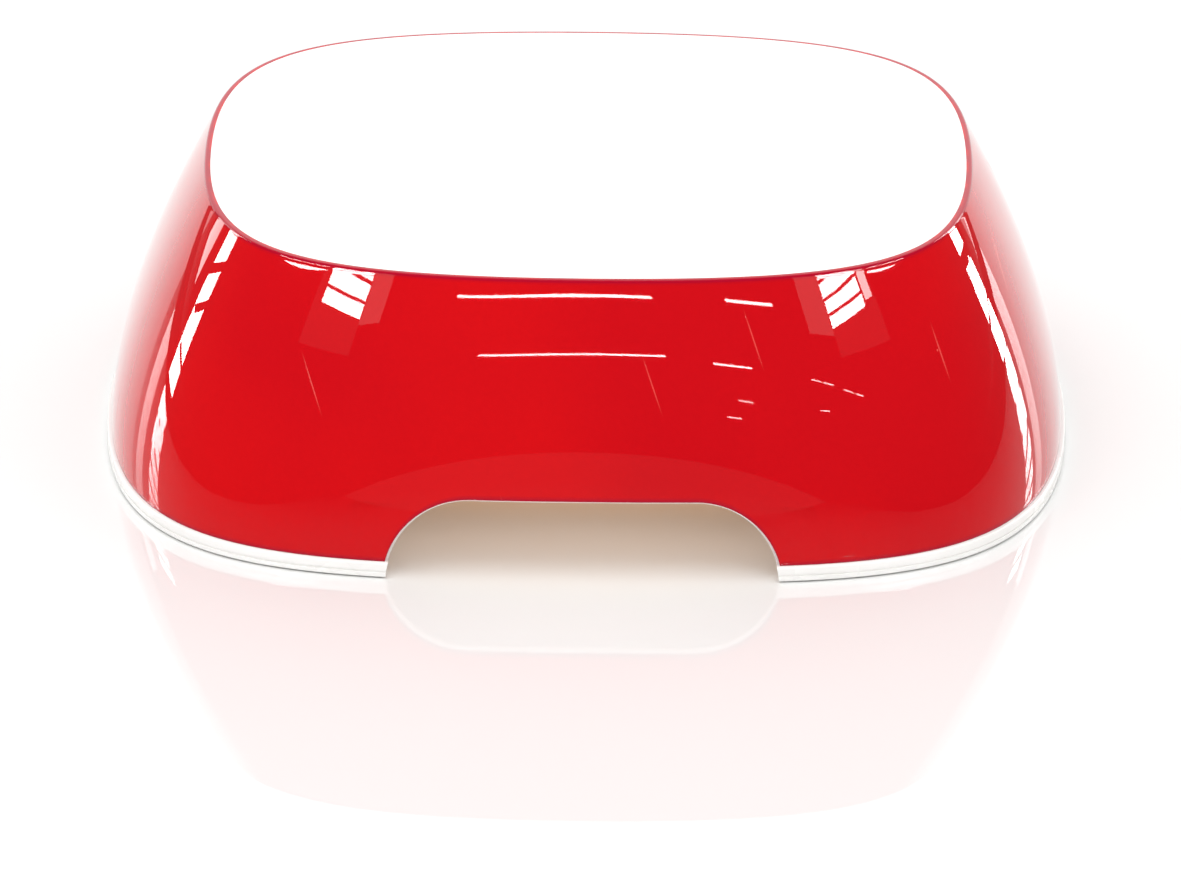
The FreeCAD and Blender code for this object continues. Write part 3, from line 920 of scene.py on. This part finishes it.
@dataclass
class RedSkin:
    """The red skin, moulded over the skirt from the flange to the rim."""

    shape: BowlShape
    setback: float = 0.7
    top_round: float = 0.7
    edge_round: float = 0.15
    # How far the painted edge shade reaches up from a free edge: it fades out at twice this height.
    painted_shade_reach: float = 0.55
    piece: bpy.types.Object | None = field(default=None, init=False)

    def top_arc(self, share: float) -> list[tuple[float, float]]:
        """Give the heights and insets round the top edge, from the flat top to the outer face.

        Args:
            share: The share of the quarter, since the skirt's slope at the rim differs round it.

        Returns:
            Pairs of height and inset.
        """
        shape, radius, drop = self.shape, self.top_round, 0.5
        upper = Vector(shape.at_share(share, shape.height, 0.0))
        lower = Vector(shape.at_share(share, shape.height - drop, 0.0))
        slope = math.atan((lower.xy - upper.xy).length / drop)
        centre = radius * (1 - math.sin(slope)) / math.cos(slope)
        return [(shape.height - radius + radius * math.sin(angle), centre - radius * math.cos(angle))
                for angle in steps(math.pi / 2, slope, 7)]

    def profile(self, column: Column) -> tuple[list[Point], list[float]]:
        """Run once round the section of the skin at one column.

        Args:
            column: The column.

        Returns:
            The points, the last of them at the first, and the strength of the painted edge shade at each.
        """
        shape, thick, bend = self.shape, self.shape.skin_thickness, self.edge_round
        arc = self.top_arc(column.share)
        points = [shape.at_share(shape.share_in(column, thick), shape.height, thick)]
        # The round is drawn on the rim's own outline, moved in or out.
        points += [shape.at_share(column.share, shape.height, inset)[:2] + (height,)
                   for height, inset in arc]
        top_points = len(points)
        face = skirt_face(shape, column, 0.0, arc[-1][0], bend)
        points += face[1:]
        end = column.end_height
        for inset, up in ((0.3 * bend, 0.3 * bend), (bend, 0.0), (thick, 0.0)):
            points.append(shape.on_skirt(column.end_x, end + up, inset) if column.in_notch
                          else shape.at_share(shape.share_in(column, inset), end + up, inset))
        bottom_points = len(points)
        inner_share = shape.share_in(column, thick)
        points += [shape.at_share(inner_share, height, thick)
                   for height in steps(end + 0.5, shape.height, 10)[:-1]]
        points.append(points[0])
        # Painted shade: three quarters on the top round, fading out just below it, and full at a free edge,
        # fading out above it.
        painted_edge_shades = []
        for number, (_, _, height) in enumerate(points):
            if number < top_points:
                depth = 0.75
            elif number >= bottom_points:
                depth = 0.0
            else:
                depth = max(0.0, 1.0 - (height - end) / (2 * self.painted_shade_reach))
                depth = max(depth, 0.75 - (arc[-1][0] - height) / 0.5)
            painted_edge_shades.append(depth)
        return points, painted_edge_shades

    def build(self) -> None:
        """Model the skin."""
        quarter = quarter_columns(self.shape, self.setback, doubled=False)
        made = [self.profile(column) for column in quarter]
        columns = all_round([points for points, _ in made])
        as_points = all_round([[(depth, 0.0, 0.0) for depth in painted_edge_shades] for _, painted_edge_shades in made])
        painted_edge_shades = [[abs(x) for x, _, _ in column] for column in as_points]
        self.piece = extruded_tube("red_outer_skin", len(columns), len(columns[0]))
        lay_rings(self.piece, columns, painted_edge_shades)
        close_and_smooth(self.piece)

    def dress(self, plastic: bpy.types.Material) -> None:
        """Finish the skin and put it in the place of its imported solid."""
        dress(self.piece, [plastic])
        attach(self.piece, "root")
        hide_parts("red_skin")
        log.info("red skin: %d faces", len(self.piece.data.polygons))


@dataclass
class RubberFeet:
    """The four feet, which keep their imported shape."""

    nodes: tuple[str, ...] = ("foot_front_left", "foot_front_right", "foot_rear_left", "foot_rear_right")

    def dress(self, rubber: bpy.types.Material) -> None:
        """Give each foot its rubber."""
        for name in self.nodes:
            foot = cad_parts[name]
            if not foot.material_slots:
                foot.data.materials.append(rubber)
            for slot in foot.material_slots:
                slot.material = rubber
            log.info("%s: rubber", name)


# ---------------------------------------------------------------- studio


def flat_grid(name: str, across: int, up: int, size: float) -> bpy.types.Object:
    """Add a level grid of across by up faces, with its middle at the origin."""
    deselect_all()
    bpy.ops.mesh.primitive_grid_add(x_subdivisions=across, y_subdivisions=up, size=size)
    grid = bpy.context.active_object
    grid.name = grid.data.name = name
    return grid


def light_up(emitter: bpy.types.Object, glow: Glow, lights_table: bool = False) -> None:
    """Make a mesh on the stage shine without being seen or casting a shadow.

    Args:
        emitter: The mesh.
        glow: Its light.
        lights_table: Whether it lights what is matt. Otherwise it shows in gloss alone.
    """
    dress(emitter, [glow.make()])
    emitter.visible_camera = False
    emitter.visible_shadow = False
    emitter.visible_glossy = not lights_table
    emitter.visible_diffuse = lights_table


@dataclass
class PaneLight:
    """A lit window or lamp, placed by the direction in which a point of the skirt sees it."""

    name: str
    seen_from: Point
    azimuths: tuple[float, float]
    elevations: tuple[float, float]
    strength: float
    panes: tuple[int, int] = (1, 1)
    bar: float = 0.0
    distance: float = 2400.0
    tilt: float = 0.0
    bow: float = 0.0
    cuts: int = 1

    def direction(self, azimuth: float, elevation: float) -> Vector:
        """Give the unit vector at an azimuth, from the front towards the right, and an elevation."""
        turn, rise = math.radians(azimuth), math.radians(elevation)
        return Vector((math.sin(turn) * math.cos(rise), -math.cos(turn) * math.cos(rise), math.sin(rise)))

    def build(self) -> bpy.types.Object:
        """Model the lit panes: a grid whose faces are inset from each other by the bars.

        Returns:
            The emitter.
        """
        across, up = self.panes
        window = flat_grid(self.name, across * self.cuts, up, 2.0)
        for vertex in window.data.vertices:
            part_x, part_y = (vertex.co.x + 1) / 2, (vertex.co.y + 1) / 2
            azimuth = self.azimuths[0] + (self.azimuths[1] - self.azimuths[0]) * part_x
            elevation = self.elevations[0] + (self.elevations[1] - self.elevations[0]) * part_y
            elevation += self.tilt * part_x + self.bow * (2 * part_x - 1) ** 2
            sight = self.direction(azimuth, elevation) * self.distance
            vertex.co = (Vector(self.seen_from) + sight) * MM
        if self.bar > 0:
            self.cut_bars()
        light_up(window, Glow(self.name + "_light", self.strength))
        log.info("%s: %d panes", self.name, across * up)
        return window

    def cut_bars(self) -> None:
        """Inset every pane on its own and delete the rims that this leaves, which are the bars."""
        bpy.ops.object.mode_set(mode="EDIT")
        bpy.ops.mesh.select_mode(type="FACE")
        bpy.ops.mesh.select_all(action="SELECT")
        bpy.ops.mesh.inset(thickness=self.bar / 2 * MM, use_individual=True)
        bpy.ops.mesh.select_all(action="INVERT")
        bpy.ops.mesh.delete(type="FACE")
        bpy.ops.mesh.select_mode(type="VERT")
        bpy.ops.object.mode_set(mode="OBJECT")


@dataclass
class Studio:
    """The table, the light and the camera."""

    lens: float = 367.1
    elevation: float = math.radians(22.746)
    yaw: float = math.radians(-0.377)
    roll: float = math.radians(-0.493)
    offset: Point = (-0.946, 4.016, 2795.5)
    table_half: float = 6000.0
    dark: float = 0.12
    dark_reach: float = 3000.0
    dark_overhang: float = 400.0
    dark_lift: float = 0.4
    soft: float = 1.0
    backdrop: float = 1.2
    bright_ground: float = 0.5
    key_place: Point = (-0.15, -0.5, 1.7)
    key_size: tuple[float, float] = (1.6, 1.2)
    key_watts: float = 13.5

    def build_table(self) -> None:
        """Lay the white sheet that the bowl stands on."""
        table = flat_grid("table", 2, 2, 2 * self.table_half * MM)
        dress(table, [GlossySheet().make()])

    def build_dark_room(self) -> None:
        """Lay a dark surround past the sheet's edge, which only the gloss on the bowl reflects."""
        # The sheet's edge on the right, from behind the bowl to the front.
        edge = [(560, 900), (500, 420), (410, 170), (330, 60), (262, -45), (222, -115), (236, -210),
                (560, -860), (1500, -2600)]
        for name, side in (("dark_right", 1), ("dark_left", -1)):
            strip = flat_grid(name, 1, len(edge) - 1, 2.0)
            for vertex in strip.data.vertices:
                row = round((1 - vertex.co.y) / 2 * (len(edge) - 1))
                x, y = edge[row]
                if (vertex.co.x < 0) != (side > 0):
                    x = self.dark_reach
                    y -= self.dark_overhang if row == len(edge) - 1 else 0
                vertex.co = Vector((x * side, y, self.dark_lift)) * MM
            light_up(strip, Glow(name + "_glow", self.dark, one_sided=True))

    def light_world(self) -> None:
        """Light the scene evenly from all round, with a dark room in front for the gloss to reflect."""
        world = bpy.data.worlds.new("studio")
        bpy.context.scene.world = world
        world.use_nodes = True
        tree = world.node_tree
        tree.nodes.clear()
        way = add_node(tree, "SeparateXYZ",
                       links={0: add_node(tree, "TexCoord").outputs["Generated"]}).outputs
        # In front, the bright ground ends along a line that drops to either side.
        ahead = calculate(tree, "MAXIMUM", calculate(tree, "MULTIPLY", way["Y"], -1.0), 0.001)
        aside = calculate(tree, "DIVIDE", way["X"], ahead)
        squared = calculate(tree, "MULTIPLY", aside, aside)
        bent = calculate(tree, "MULTIPLY_ADD", squared, -0.44, 0.077)
        below = calculate(tree, "LESS_THAN", way["Z"], calculate(tree, "MULTIPLY", bent, ahead))
        ground = spread_over(tree, below, 0.0, 1.0, self.dark, self.bright_ground)
        # Behind the bowl the white backdrop begins at about 39 degrees either side of straight back.
        spread = calculate(tree, "MULTIPLY", calculate(tree, "ABSOLUTE", way["X"]), 1.23)
        back = calculate(tree, "GREATER_THAN", way["Y"], spread)
        mirror = calculate(tree, "MAXIMUM", ground, calculate(tree, "MULTIPLY", back, self.backdrop))
        ray = add_node(tree, "LightPath").outputs["Is Glossy Ray"]
        strength = add_node(tree, "Mix", {"data_type": "FLOAT"}, {2: self.soft}, {0: ray, 3: mirror})
        sky = add_node(tree, "Background", values={"Color": (1.0, 1.0, 1.0, 1.0)},
                       links={"Strength": strength.outputs[0]})
        add_node(tree, "OutputWorld", links={"Surface": sky.outputs[0]})

    def build_lamps(self) -> None:
        """Hang the soft key light, and the windows and tubes that show in the red skin."""
        bpy.ops.object.light_add(type="AREA")
        key = bpy.context.active_object
        key.name = key.data.name = "key"
        key.data.shape = "RECTANGLE"
        key.data.size, key.data.size_y = self.key_size
        key.data.energy = self.key_watts
        place = Vector(self.key_place)
        key.matrix_world = Matrix.Translation(place) @ (-place).to_track_quat("-Z", "Y").to_matrix().to_4x4()
        key.visible_camera = False
        key.visible_glossy = False
        left, right = (-55.0, -74.0, 60.0), (57.0, -73.0, 60.0)
        front, far = (-5.0, -80.0, 63.0), 3000.0
        lamps = [
            PaneLight("left_window", left, (-46.5, -30.5), (22.9, 29.5), 70.0, (1, 4), 12.0, tilt=-1.6),
            PaneLight("left_window_side", left, (-30.5, -25.2), (20.9, 29.5), 2.4, distance=far),
            PaneLight("left_window_sill", left, (-50.0, -30.5), (18.9, 29.5), 0.6, distance=far, tilt=-1.0),
            PaneLight("right_window", right, (36.5, 53.6), (21.2, 28.2), 70.0, (1, 5), 12.0, tilt=1.6),
            PaneLight("right_window_edge", right, (54.4, 59.0), (23.2, 28.6), 30.0, (1, 2), 12.0),
            PaneLight("right_window_side", right, (29.0, 36.5), (20.7, 28.2), 2.2, distance=far),
            PaneLight("right_window_sill", right, (36.5, 60.0), (18.6, 28.2), 0.6, distance=far, tilt=0.4),
            PaneLight("left_high_window", (-63.0, -68.0, 65.0), (-79.0, -48.5), (22.4, 24.2), 60.0,
                      tilt=3.4, bow=-0.4, cuts=6),
            PaneLight("right_high_window", (65.0, -67.0, 65.0), (60.5, 88.0), (25.25, 27.0), 60.0,
                      tilt=-4.6, bow=-0.4, cuts=6),
            PaneLight("left_tall_window", (-88.0, -54.0, 45.0), (-124.0, -115.0), (-2.0, 30.0), 24.0,
                      (1, 10), 32.0, tilt=4.5),
            PaneLight("left_tall_foot", (-90.0, -55.0, 34.0), (-124.0, -115.0), (-4.2, 4.2), 24.0,
                      (1, 2), 5.0, distance=430.0),
            PaneLight("right_tall_foot", (94.0, -49.0, 34.0), (128.5, 136.0), (-4.2, 4.2), 24.0,
                      (1, 2), 5.0, distance=430.0),
            PaneLight("left_tall_dim", (-90.0, -47.0, 45.0), (-136.5, -130.0), (0.2, 30.0), 5.0),
            PaneLight("right_tall_window", (92.0, -48.0, 45.0), (128.5, 136.0), (0.2, 32.0), 24.0,
                      (1, 10), 36.0, tilt=-3.0),
            PaneLight("right_tall_dim", (94.0, -40.0, 45.0), (138.5, 144.5), (0.2, 30.0), 5.0),
            PaneLight("upper_tube", front, (-13.0, 5.2), (21.48, 21.72), 70.0, tilt=-0.6,
                      bow=0.4, cuts=10),
            PaneLight("lower_tube", (-3.0, -84.0, 51.0), (-8.6, 5.6), (15.75, 15.95), 60.0, tilt=-0.1,
                      bow=0.35, cuts=10),
            PaneLight("upper_short_tube", (37.0, -78.0, 61.5), (13.3, 22.0), (22.12, 22.38), 70.0, tilt=0.5,
                      cuts=4),
            PaneLight("lower_short_tube", (33.0, -84.0, 48.5), (9.6, 15.0), (15.95, 16.15), 60.0, tilt=0.2,
                      cuts=4),
            PaneLight("far_tube_1", (36.0, -86.0, 41.0), (11.7, 13.8), (12.5, 12.65), 40.0),
            PaneLight("far_tube_2", (34.0, -87.5, 37.5), (9.8, 11.6), (10.4, 10.55), 40.0),
            PaneLight("far_tube_3a", (53.0, -82.0, 44.5), (26.0, 28.4), (16.18, 16.34), 45.0, tilt=-0.16),
            PaneLight("far_tube_3b", (53.0, -82.0, 44.5), (29.1, 31.6), (15.97, 16.13), 45.0, tilt=-0.18),
            PaneLight("far_tube_4a", (60.5, -81.0, 41.0), (34.2, 37.2), (15.47, 15.63), 45.0, tilt=-0.4),
            PaneLight("far_tube_4b", (60.5, -81.0, 41.0), (38.1, 40.3), (14.97, 15.13), 45.0, tilt=-0.3),
            PaneLight("far_tube_5", (54.0, -84.0, 38.0), (26.3, 28.7), (12.85, 13.0), 40.0),
        ]
        for lamp in lamps:
            lamp.build()
        self.build_under_light()

    def build_under_light(self) -> None:
        """Light the table under the bowl, as the light does that comes through the thin moulding."""
        for name, middle, size, strength, tint in (
                ("under_middle", (0.0, 0.0, 10.9), (110.0, 92.0), 0.9, "#FFC08A"),
                ("under_front", (0.0, -79.0, 17.4), (104.0, 26.0), 0.9, "#FFE2CC"),
                ("under_rear", (0.0, 79.0, 17.4), (104.0, 26.0), 0.9, "#FFE2CC")):
            panel = flat_grid(name, 2, 2, 1.0)
            panel.location = Vector(middle) * MM
            panel.rotation_euler = (math.pi, 0.0, 0.0)
            panel.scale = (size[0] * MM, size[1] * MM, 1.0)
            light_up(panel, Glow(name + "_glow", strength, True, tint), lights_table=True)

    def build_camera(self) -> None:
        """Set up the camera from its elevation, yaw, roll and its distance from the bowl."""
        turn = Matrix.Rotation(self.yaw, 3, "Z")
        tip = Matrix(((1, 0, 0), (0, math.sin(self.elevation), math.cos(self.elevation)),
                      (0, math.cos(self.elevation), -math.sin(self.elevation))))
        rows = Matrix.Rotation(self.roll, 3, "Z") @ tip @ turn
        place = -(rows.transposed() @ Vector(self.offset)) * MM
        facing = Matrix((rows[0], rows[1], -rows[2])).transposed()
        bpy.ops.object.camera_add()
        camera = bpy.context.active_object
        camera.name = camera.data.name = "camera"
        camera.data.lens, camera.data.sensor_width = self.lens, 36.0
        camera.data.clip_end = 50.0
        camera.matrix_world = Matrix.Translation(place) @ facing.to_4x4()
        bpy.context.scene.camera = camera

    def build(self) -> None:
        """Set up the whole studio."""
        self.build_table()
        self.build_dark_room()
        self.light_world()
        self.build_lamps()
        self.build_camera()
        scene = bpy.context.scene
        scene.view_settings.view_transform = "Standard"
        scene.cycles.use_denoising = True
        log.info("studio ready")


def main() -> None:
    """Build the pieces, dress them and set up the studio."""
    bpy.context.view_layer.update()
    shape = BowlShape(height=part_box("red_skin")[1].z / MM)
    moulding = WhiteMoulding(shape)
    moulding.build()
    # The underside's warmer, darker white is painted warm shade.
    moulding.dress(WhiteMouldedPlastic("Satin_white_ABS", "#FBFAF8", "#F7F6F3", 0.22, 1.1, 0.03).make(),
                   WhiteMouldedPlastic("Underside_white_ABS_painted_shade", "#EFE2CE", "#E6D6BE", 0.5, 0.9, 0.2).make())
    skin = RedSkin(shape)
    skin.build()
    skin.dress(RedSkinPlastic().make())
    RubberFeet().dress(FootRubber().make())
    Studio().build()


if __name__ == "__main__":
    main()
